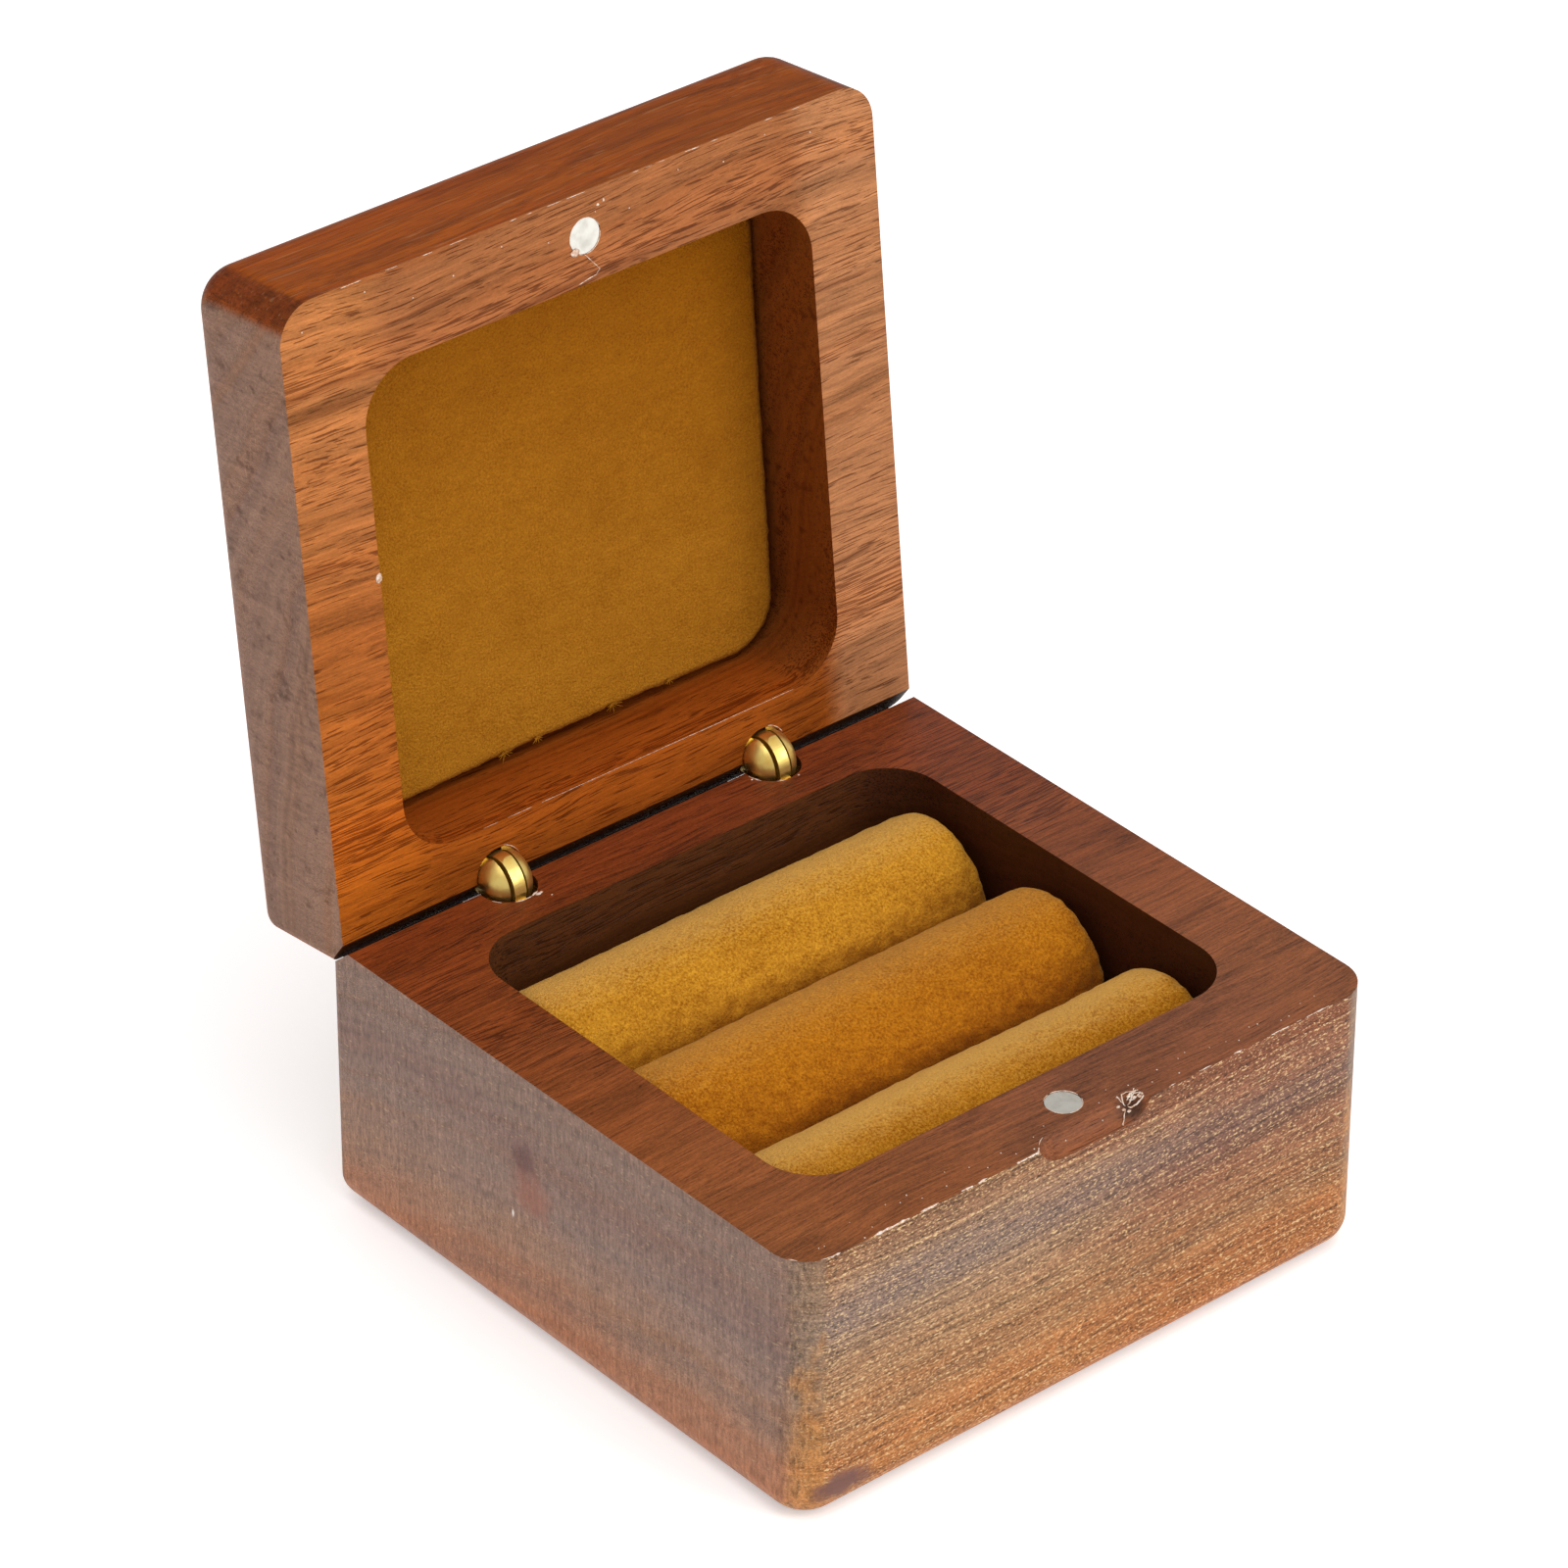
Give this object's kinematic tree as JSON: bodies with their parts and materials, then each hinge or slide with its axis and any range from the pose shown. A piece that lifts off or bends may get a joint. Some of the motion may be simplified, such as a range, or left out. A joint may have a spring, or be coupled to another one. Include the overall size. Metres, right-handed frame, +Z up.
{
  "type": "ring box",
  "caption": "Hinged wooden ring box: milled base and lid, velvet ring rolls in the base, velvet panel in the lid, magnetic closing.",
  "frame": {"origin": "centre of the base's underside; the lid's overhang at the back is not counted", "axes": "+Z up, +Y to the back (hinge side), +X to the right as seen from the front; stored with the lid open on its stop"},
  "size_m": [0.06, 0.0737, 0.0809],
  "materials": {
    "walnut": "satin",
    "brass": "polished",
    "nickel": "polished",
    "velvet": "velvet pile",
    "lining_velvet": "velvet pile",
    "foam": "open-cell foam",
    "card": "uncoated greyboard"
  },
  "bodies": {
    "base": {"base_block": "walnut", "base_magnet": "nickel", "cushion_card": "card", "roll_core_back": "foam", "roll_core_middle": "foam", "roll_core_front": "foam", "roll_velvet_back": "velvet", "roll_velvet_middle": "velvet", "roll_velvet_front": "velvet", "hinge_left_base_barrel": "brass", "hinge_right_base_barrel": "brass"},
    "lid": {"lid_block": "walnut", "lid_magnet": "nickel", "lid_panel_card": "card", "lid_panel_foam": "foam", "lid_panel_velvet": "lining_velvet", "hinge_left_lid_barrel": "brass", "hinge_right_lid_barrel": "brass", "hinge_left_pin": "brass", "hinge_right_pin": "brass"}
  },
  "joints": [
    {"name": "lid_hinge", "type": "hinge", "parent": "base", "child": "lid", "pos_m": [0, 0.0271, 0.0251], "axis": [1, 0, 0], "range_deg": [0, 96]}
  ]
}
